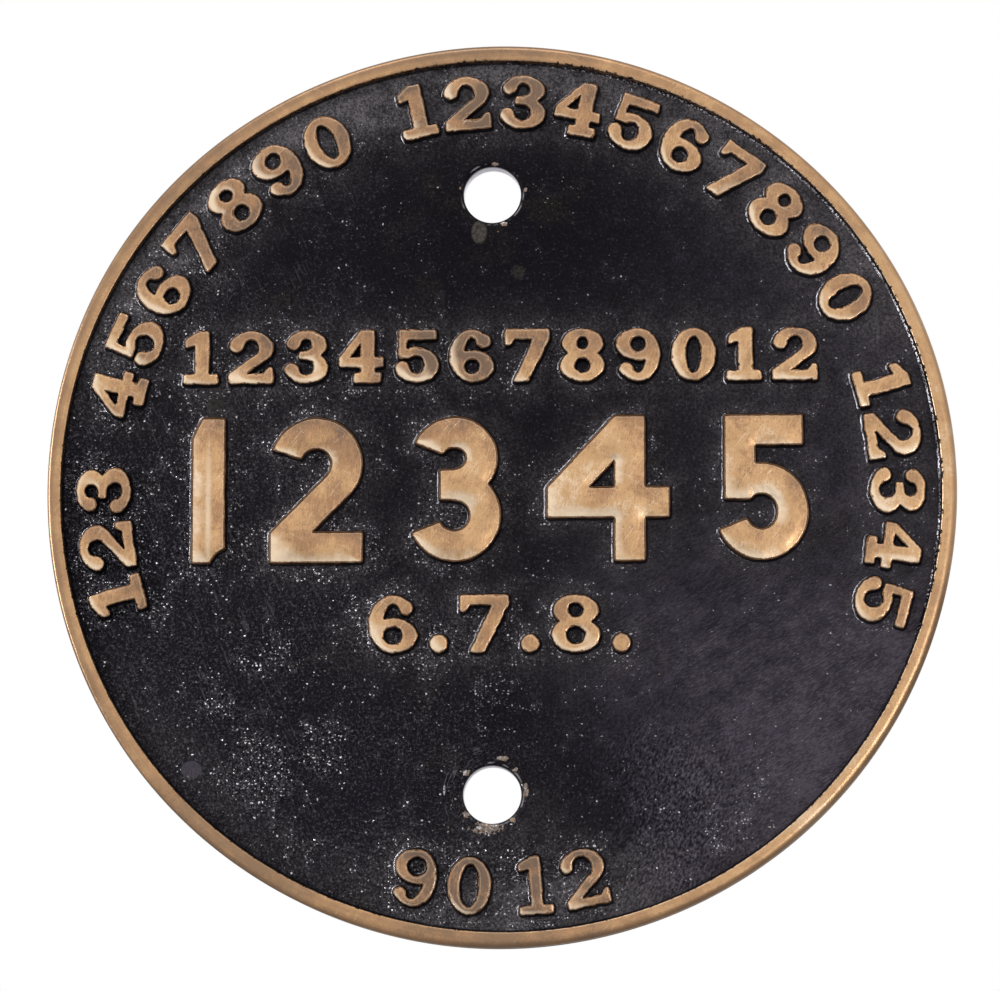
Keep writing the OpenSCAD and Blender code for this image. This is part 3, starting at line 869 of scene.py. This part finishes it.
# The way up a side: how far outside the outline in millimetres, and the height as a share of
# the relief. It starts under the outline, so that the hidden underside is closed.
SIDE_PROFILE = [(0.0, -0.10), (1.15, -0.10), (0.95, -0.02), (0.78, 0.03), (0.62, 0.10),
                (0.52, 0.20), (0.44, 0.34), (0.34, 0.56), (0.24, 0.76), (0.15, 0.88), (0.07, 0.94)]

# The way in over a face: how far inside the outline, and how far below the full relief.
CROWN = [(0.0, 0.11), (0.10, 0.08), (0.25, 0.05), (0.55, 0.025), (1.0, 0.01), (1.6, 0.0)]
LARGE_CROWN = [(0.0, 0.12), (0.07, 0.08), (0.16, 0.045), (0.30, 0.015), (0.48, 0.0)]

# How figures are cut: step along the outline, rounding of its corners and of its curves,
# unevenness, and the way in over the face.
CUT = (0.26, 0.36, 0.55, 0.075, CROWN)
LARGE_CUT = (0.34, 0.34, 1.3, 0.035, LARGE_CROWN)

SWELL = 0.50
SKIN_STEP = 0.62
SKIN_ROUNDS = 500
LIGHT_SIDE = np.array([-0.64, -0.77])
LAMP_SIDE = np.array([-0.97, 0.24])

# The bite out of the first large figure: to the right and up from the corner of its foot, and
# its radius.
BITE = (2.0, -2.0, 6.0)

# Outlines of the figures made so far, for the rougher paint round them, with its painted glints
# and painted light.
OUTLINES = []


def bitten(loop, centre, radius):
    """The outline with a round bite where the metal did not fill the mould."""
    away = loop - centre
    far = np.linalg.norm(away, axis=1)
    push = np.maximum(radius / far, 1)
    return centre + away * push[:, None]


def scattered(low, high, step, rng):
    """Points of a loose triangular grid over a rectangle."""
    rows = np.arange(low[1], high[1], step * math.sqrt(3) / 2)
    points = []
    for k, z in enumerate(rows):
        xs = np.arange(low[0] + (k % 2) * step / 2, high[0], step)
        points.append(np.stack([xs, np.full(len(xs), z)], axis=1))
    points = np.vstack(points)
    return points + rng.uniform(-0.22, 0.22, points.shape) * step


def swollen_face(shell, rings, tilt, rng):
    """Closes a large face with a surface swollen like a stretched skin, and marks its lean.

    Lean is 0 on the middle line of a stroke, and runs to 1 at an edge that faces LIGHT_SIDE
    and to -1 at one that faces away from it.
    """
    loops = [np.array([(shell.points[i][0], shell.points[i][2]) for i in ring]) for ring in rings]
    edge = np.vstack(loops)
    points = scattered(edge.min(axis=0), edge.max(axis=0), SKIN_STEP, rng)
    points = points[inside(points, loops)]
    far = np.array([np.linalg.norm(edge - p, axis=1).min() for p in points])
    points = points[far > 0.36]
    level = PAINT_Y - shell.points[rings[0][0]][1]
    ids, triangles = shell.cap(rings, front=True, inner=points, height=level, inset=3.0, near=1.0,
                               tilt=tilt(points))
    flat = np.vstack([edge, points])
    sides = [(0, 1), (1, 2), (2, 0), (1, 0), (2, 1), (0, 2)]
    pairs = np.vstack([triangles[:, side] for side in map(list, sides)])
    gap = ((flat[pairs[:, 0]] - flat[pairs[:, 1]]) ** 2).sum(axis=1)
    count = np.bincount(pairs[:, 0], minlength=len(flat))
    gap = np.bincount(pairs[:, 0], gap, len(flat)) / count
    rise = np.zeros(len(flat))
    for _ in range(SKIN_ROUNDS):
        rise = np.bincount(pairs[:, 0], rise[pairs[:, 1]], len(flat)) / count + gap
        rise[:len(edge)] = 0
    pull = SWELL / rise.max()
    rise *= pull
    corner = np.column_stack([flat, rise])[triangles]
    across = np.cross(corner[:, 1] - corner[:, 0], corner[:, 2] - corner[:, 0])
    across *= np.sign(across[:, 2:])
    normals = np.zeros((len(flat), 3))
    np.add.at(normals, triangles.ravel(), np.repeat(across, 3, axis=0))
    slope = normals[:, :2] / np.maximum(normals[:, 2:], 1e-9)
    lean = slope @ LIGHT_SIDE / np.sqrt((slope ** 2).sum(axis=1) + 8 * pull * rise + 1e-9)
    for i, up, side in zip(ids, rise, lean):
        x, y, z = shell.points[i]
        shell.points[i] = (x, y - up, z)
        shell.marks["lean"][i] = side


# Seed for the turn of the painted light's direction on each figure
LIT_END_SEED = 900


def raised_figure(node, material, seed):
    """One cast figure with drafted, painted sides and a worn face; large faces are swollen."""
    rng = np.random.default_rng(seed)
    large = node.startswith("serial")
    step, corner, curve, uneven, crown = LARGE_CUT if large else CUT
    loops, moves = [], []
    for loop in outline_loops(node):
        loop = softened(loop, step, corner, curve)
        if node == "serial_figure_1":
            low, high = corners(node)
            loop = bitten(loop, np.array([high[0] + BITE[0], low[2] + BITE[1]]), BITE[2])
        loops.append(loop)
        OUTLINES.append(loop[::3])
        moves.append(hand_cut(loop, step, uneven, rng))
    sizes = np.cumsum([len(loop) for loop in loops])[:-1]
    outside = np.split(0.9 * room(loops, 1), sizes)
    within = np.split(0.86 * room(loops, -1), sizes)
    level = FACE_H - rng.uniform(0.0, 0.05) - (SWELL if large else 0)
    low, high = (place[[0, 2]] for place in corners(node))
    turn = np.random.default_rng(LIT_END_SEED + seed).normal(0, 0.6)
    cosine, sine = math.cos(turn), math.sin(turn)
    bright = np.array([[cosine, -sine], [sine, cosine]]) @ LIGHT_SIDE

    def tilt(flat):
        """From -1 at the end of the figure that gets painted shade to 1 at the end that gets
        painted light.
        """
        return (flat - (low + high) / 2) @ bright / (max(high - low) / 2)

    shell = Shell()
    first, last = [], []
    for loop, move, far, near in zip(loops, moves, outside, within):
        normals = outward(loop)
        rings = []
        for offset, share in SIDE_PROFILE:
            flat = loop + normals * (far * np.tanh(offset / far) + move)[:, None]
            rings.append(shell.ring(flat, share * FACE_H, inset=share * FACE_H - FACE_H,
                                    lean=normals @ LAMP_SIDE, tilt=tilt(flat), near=1.0))
        for inset, drop in crown:
            moved = near * np.tanh(inset / near)
            flat = loop + normals * (move * math.exp(-inset / 0.25) - moved)[:, None]
            lean = (normals @ LIGHT_SIDE) * (1.0 if large else math.exp(-inset / 1.6))
            rings.append(shell.ring(flat, level - drop, inset=moved, lean=lean, tilt=tilt(flat),
                                    near=1.0))
        shell.stack(rings)
        first.append(rings[0])
        last.append(rings[-1])
    if large:
        swollen_face(shell, last, tilt, rng)
    else:
        shell.cap(last, front=True)
    shell.cap(first, front=False)
    return shell.piece(node + "_cast", material, node)


# Ground, disc and rim

GROUND_STEP = 0.72
BACK_STEP = 2.4
LIP_ROUND = 1.0
HIDDEN = 0.02  # how far a hidden edge lies inside the bronze
GROUND_SEED = 11
DISC_SEED = 5


def grid(step, radius, keep_out, rng):
    """Points of a loose triangular grid inside a circle, clear of its edge and of the holes."""
    points = scattered((-radius, -radius), (radius, radius), step, rng)
    keep = np.hypot(points[:, 0], points[:, 1]) < radius - 0.6 * step
    for hole in HOLE_PLACES:
        keep &= np.linalg.norm(points - hole, axis=1) > keep_out + 0.6 * step
    return points[keep]


def nearness(flat):
    """1 at the foot of a figure, fading over a few millimetres."""
    points = np.vstack(OUTLINES)
    tree = KDTree(len(points))
    for k, (x, z) in enumerate(points):
        tree.insert((x, z, 0.0), k)
    tree.balance()
    far = np.array([tree.find((x, z, 0.0))[2] for x, z in flat])
    return np.exp(-np.maximum(far - 1.0, 0) / 3.6)


def ground_height(flat):
    """Unevenness of the painted ground, in lumps of three sizes, stronger near the figures."""
    near = nearness(flat)
    total = 0.11 * bumps(flat, 14, 3) + (0.05 + 0.06 * near) * bumps(flat, 4.2, 5)
    return total + (0.03 + 0.05 * near) * bumps(flat, 1.9, 8)


def ground_paint(material):
    """The coat of black paint, with rounded lips that run down into the two holes."""
    rng = np.random.default_rng(GROUND_SEED)
    shell = Shell()
    edge = polar(WALL_TURN, PAINT_R + 0.3)
    lows, tops = [shell.ring(edge, BASE_H + HIDDEN)], [shell.ring(edge, -0.05)]
    shell.stack(lows + tops)
    for hole in HOLE_PLACES:
        rings = [shell.ring(bore(hole, HOLE_R + 1.6), BASE_H + HIDDEN)]
        for radius in (HOLE_R + 0.4, HOLE_R + HIDDEN):
            rings.append(shell.ring(bore(hole, radius), -LIP_ROUND - 0.25))
        for turn in np.radians([0, 20, 40, 60, 78, 90]):
            flat = bore(hole, HOLE_R + HIDDEN + LIP_ROUND * (1 - math.cos(turn)))
            height = LIP_ROUND * (math.sin(turn) - 1)
            rings.append(shell.ring(flat, height + ground_height(flat) * turn / (math.pi / 2)))
        shell.stack(rings)
        lows.append(rings[0])
        tops.append(rings[-1])
    points = grid(GROUND_STEP, PAINT_R, HOLE_R + LIP_ROUND, rng)
    shell.cap(tops, front=True, inner=points, height=ground_height(points), near=nearness(points))
    shell.cap(lows, front=False)
    return shell.piece("ground_paint_coat", material, "ground_paint", slot="black_paint")


# The rim's radii at its front, and the waves of its filed edges: how many in a turn, how far
# out in millimetres, and phase in degrees.
FRONT_R = 117.05
RIM_INNER_R = 113.2
OUTER_WAVES = [(2, 0.19, 92), (3, 0.20, -48), (4, 0.10, 151), (5, 0.09, -15), (6, 0.08, -138)]
INNER_WAVES = [(2, 0.25, 66), (3, 0.19, -110), (4, 0.10, -165), (5, 0.09, -14)]


def round_wall(share, inset):
    """A ring on the hand-filed wall, from the front edge at share 0 to the back at share 1."""
    front = FRONT_R + sum(size * np.cos(k * WALL_TURN + math.radians(phase))
                          for k, size, phase in OUTER_WAVES)
    out = np.minimum(front + share * (0.10 + 0.25 * np.sin(WALL_TURN)), PLATE_R - HIDDEN)
    return polar(WALL_TURN, out - inset)


def back_plate(material):
    """The bronze disc: rough flat back, drafted wall and two drilled holes."""
    rng = np.random.default_rng(DISC_SEED)
    shell = Shell()
    wall = [shell.ring(round_wall(share, inset), height)
            for share, inset, height in ((1.0, 0.7, BACK_H), (1.0, 0.2, BACK_H + 0.15),
                                         (1.0, 0.0, BACK_H + 0.6),
                                         (0.6, 0.0, (BACK_H + BASE_H) / 2), (0.15, 0.0, BASE_H))]
    shell.stack(wall)
    backs, fronts = [wall[0]], [wall[-1]]
    for hole in HOLE_PLACES:
        rings = [shell.ring(bore(hole, HOLE_R + wider), height)
                 for wider, height in ((0.5, BACK_H), (0.15, BACK_H + 0.15), (0.0, BACK_H + 0.5),
                                       (0.0, -LIP_ROUND - 0.3), (0.9, -0.45))]
        shell.stack(rings)
        backs.append(rings[0])
        fronts.append(rings[-1])
    points = grid(BACK_STEP, PLATE_R - 1.5, HOLE_R + 0.5, rng)
    shell.cap(backs, front=False, inner=points, height=BACK_H + 0.10 + 0.08 * bumps(points, 9, 21))
    shell.cap(fronts, front=True)
    return shell.piece("back_plate_cast", material, "back_plate")


RIM_SIZES = {"Inner radius": RIM_INNER_R, "Outer radius": FRONT_R, "Height": FACE_H - BASE_H,
             "Outer round": 1.1, "Inner round": 0.28, "Right bevel": 0.75, "Foot": 0.9,
             "Ripple": 0.05}
RIM_PARTS = 900
SECTION_STEP = 0.28


def waves(n, turn, terms):
    """Sum of the waves of an uneven edge, as a field of the turn."""
    total = 0.0
    for k, size, phase in terms:
        angle = turn * float(k) + math.radians(phase)
        total = n.math("COSINE", angle) * (size * MM) + total
    return total


def rim_tree(material):
    """Geometry tree that sweeps a rounded section round the plate and files it unevenly."""
    tree = bpy.data.node_groups.new("rim_sweep", "GeometryNodeTree")
    for name in RIM_SIZES:
        tree.interface.new_socket(name, in_out="INPUT", socket_type="NodeSocketFloat")
    tree.interface.new_socket("Geometry", in_out="OUTPUT", socket_type="NodeSocketGeometry")
    n = Nodes(tree)
    size = dict(zip(RIM_SIZES, n.outputs(n.add("NodeGroupInput"), *RIM_SIZES)))
    width = size["Outer radius"] - size["Inner radius"]

    path = n.field("GeometryNodeCurvePrimitiveCircle",
                   {"Resolution": RIM_PARTS, "Radius": size["Outer radius"]})
    path, along = n.capture(path, "FLOAT", "Along",
                            n.field("GeometryNodeSplineParameter", out="Factor"))
    box = n.field("GeometryNodeCurvePrimitiveQuadrilateral",
                  {"Width": width, "Height": size["Height"]})
    u, v, _ = n.split(n.field("GeometryNodeInputPosition"))
    front = n.field("FunctionNodeCompare", {0: v, 1: 0.0}, operation="GREATER_THAN")
    outer = n.field("FunctionNodeCompare", {0: u, 1: 0.0}, operation="GREATER_THAN")
    corner = {0: outer, 1: size["Inner round"], 2: size["Outer round"]}
    radius = n.field("GeometryNodeSwitch", corner, input_type="FLOAT")
    radius = n.field("GeometryNodeSwitch", {0: front, 1: 0.0, 2: radius}, input_type="FLOAT")
    rounded = n.field("GeometryNodeFilletCurve", {"Curve": box, "Radius": radius, "Count": 7,
                                                  "Limit Radius": True}, mode="POLY")
    section = n.field("GeometryNodeResampleCurve",
                      {"Curve": rounded, "Length": SECTION_STEP * MM}, mode="LENGTH")
    section, across = n.capture(section, "VECTOR", "Across", n.field("GeometryNodeInputPosition"))
    swept = n.field("GeometryNodeCurveToMesh", {"Curve": path, "Profile Curve": section})

    turn = along * (2 * math.pi)
    u, v, _ = n.split(across)
    share = u / width + 0.5
    ray = n.join(n.math("COSINE", turn), 0.0, n.math("SINE", turn))
    ripple = n.field("ShaderNodeTexNoise", {"Vector": ray, "Scale": 46.0, "Detail": 2.0})
    ripple = (ripple - 0.5) * size["Ripple"]
    inner_r = size["Inner radius"] + waves(n, turn, INNER_WAVES) + ripple
    outer_r = size["Outer radius"] + waves(n, turn, OUTER_WAVES)
    r = n.blend(share, inner_r, outer_r)
    height = v + size["Height"] * 0.5
    low = n.step(height, 1.5 * MM, 0.2 * MM)
    foot = low * low * (n.step(share, 0.08, 0.0) * size["Foot"])
    right = n.math("COSINE", turn + 0.15) * 0.5 + 0.5
    bevel = right * right * size["Right bevel"]
    bevel = bevel * n.math("POWER", n.step(share, 0.42, 1.15), 1.4)
    bevel = bevel * (height / size["Height"])
    y = (PAINT_Y - BASE_H + 0.02) * MM - (height - bevel)
    place = n.field("ShaderNodeVectorMath", {0: ray, "Scale": r - foot}, operation="SCALE")
    place = n.vector_math("ADD", place, n.join(0.0, y, 0.0))
    moved = n.field("GeometryNodeSetPosition", {"Geometry": swept, "Position": place})
    inset = (r - foot - inner_r) * (1 / MM)
    marked = n.field("GeometryNodeStoreNamedAttribute",
                     {"Geometry": moved, "Name": "inset", "Value": inset}, data_type="FLOAT")
    turned = n.field("GeometryNodeFlipFaces", {"Mesh": marked})
    smooth = n.field("GeometryNodeSetShadeSmooth", {"Geometry": turned})
    real = n.field("GeometryNodeRealizeInstances", {"Geometry": smooth})
    done = n.field("GeometryNodeSetMaterial", {"Geometry": real, "Material": material})
    n.add("NodeGroupOutput", {0: done})
    return tree


def rim(material):
    """The raised rim, swept by its tree and then kept as a plain mesh."""
    maker = bpy.data.objects.new("rim_maker", bpy.data.meshes.new("rim_maker"))
    bpy.context.scene.collection.objects.link(maker)
    tree = rim_tree(material)
    modifier = maker.modifiers.new("rim_sweep", "NODES")
    modifier.node_group = tree
    for item in tree.interface.items_tree:
        if item.in_out == "INPUT":
            modifier[item.identifier] = RIM_SIZES[item.name] * MM
    ready = maker.evaluated_get(bpy.context.evaluated_depsgraph_get())
    mesh = bpy.data.meshes.new_from_object(ready)
    bpy.data.objects.remove(maker)
    mesh.name = "rim_cast"
    return dressed("rim_cast", mesh, "bronze", "rim")


# Stage, light and camera

FLOOR_PALE = colour(0.82, 0.82, 0.82)
WHITE = colour(1, 1, 1)
SURROUNDINGS = colour(0.38, 0.38, 0.39)
FLOOR_DROP = 110

# Lamps that aim at the middle of the plate: place, width and height in metres, power in watts.
LAMPS = {"left_lamp": ((-0.95, -0.42, 0.10), 0.16, 0.5, 5),
         "low_left_lamp": ((-0.46, -1.16, -0.34), 0.24, 0.24, 5),
         "right_lamp": ((0.52, -1.10, -0.30), 0.40, 0.40, 5),
         "top_lamp": ((-0.15, -0.75, 1.0), 0.7, 0.4, 2.5)}


def aimed(name, data, place, toward):
    """A lamp or camera that looks along a direction."""
    thing = bpy.data.objects.new(name, data)
    thing.location = place
    thing.rotation_euler = toward.to_track_quat("-Z", "Y").to_euler()
    bpy.context.scene.collection.objects.link(thing)
    return thing


def lamp(name, place, width, height, power):
    data = bpy.data.lights.new(name, "AREA")
    data.shape = "RECTANGLE"
    data.size, data.size_y = width, height
    data.energy = power
    aimed(name, data, place, -Vector(place))


def stage():
    """Pale floor below the plate, white surroundings and soft lamps."""
    bpy.ops.mesh.primitive_plane_add(size=6.0, location=(0, 0, (plate_low[2] - FLOOR_DROP) * MM))
    floor = bpy.context.object
    floor.name = "floor"
    floor.data.materials.append(Finish("floor_pale").connect(colour=FLOOR_PALE, rough=0.9))

    world = bpy.data.worlds.new("white_surroundings")
    bpy.context.scene.world = world
    world.use_nodes = True
    n = Nodes(world.node_tree)
    rays = n.outputs(n.add("ShaderNodeLightPath"), "Is Camera Ray", "Is Glossy Ray",
                     "Is Transmission Ray")
    seen = n.larger(n.larger(rays[0], rays[1]), rays[2])
    background = world.node_tree.nodes["Background"]
    n.put(n.mix(seen, SURROUNDINGS, WHITE), background.inputs["Color"])
    for name, settings in LAMPS.items():
        lamp(name, *settings)


# The camera: distance in metres, angles in degrees, and the x and z that it aims at in
# millimetres, on the rim's face.
CAMERA_DISTANCE = 1.256
CAMERA_AZIMUTH = 2.5
CAMERA_ELEVATION = -8.5
CAMERA_LENS = 176.3
CAMERA_AIM = (0.14, -1.44)


def camera():
    """The camera that sees the plate as the photograph does."""
    data = bpy.data.cameras.new("camera")
    data.sensor_width = 36
    data.lens = CAMERA_LENS
    a, e = math.radians(CAMERA_AZIMUTH), math.radians(CAMERA_ELEVATION)
    back = Vector((math.sin(a) * math.cos(e), -math.cos(a) * math.cos(e), math.sin(e)))
    target = Vector((CAMERA_AIM[0], rim_low[1], CAMERA_AIM[1])) * MM
    eye = aimed("camera", data, target + back * CAMERA_DISTANCE, -back)
    bpy.context.scene.camera = eye


# Making the plate

FIGURE_SEED = 100
STOPS_SEED = 7

bpy.context.scene.view_settings.view_transform = "Standard"
figure_bronze = figure_material("figure_bronze", large=False)
serial_bronze = figure_material("serial_bronze", large=True)
for number, name in enumerate(FIGURES):
    finish = serial_bronze if name.startswith("serial") else figure_bronze
    raised_figure(name, finish, FIGURE_SEED + number)
raised_figure("lower_stops", figure_bronze, STOPS_SEED)
ground_paint(paint_material())
back_plate(plate_material())
rim(rim_material())
stage()
camera()
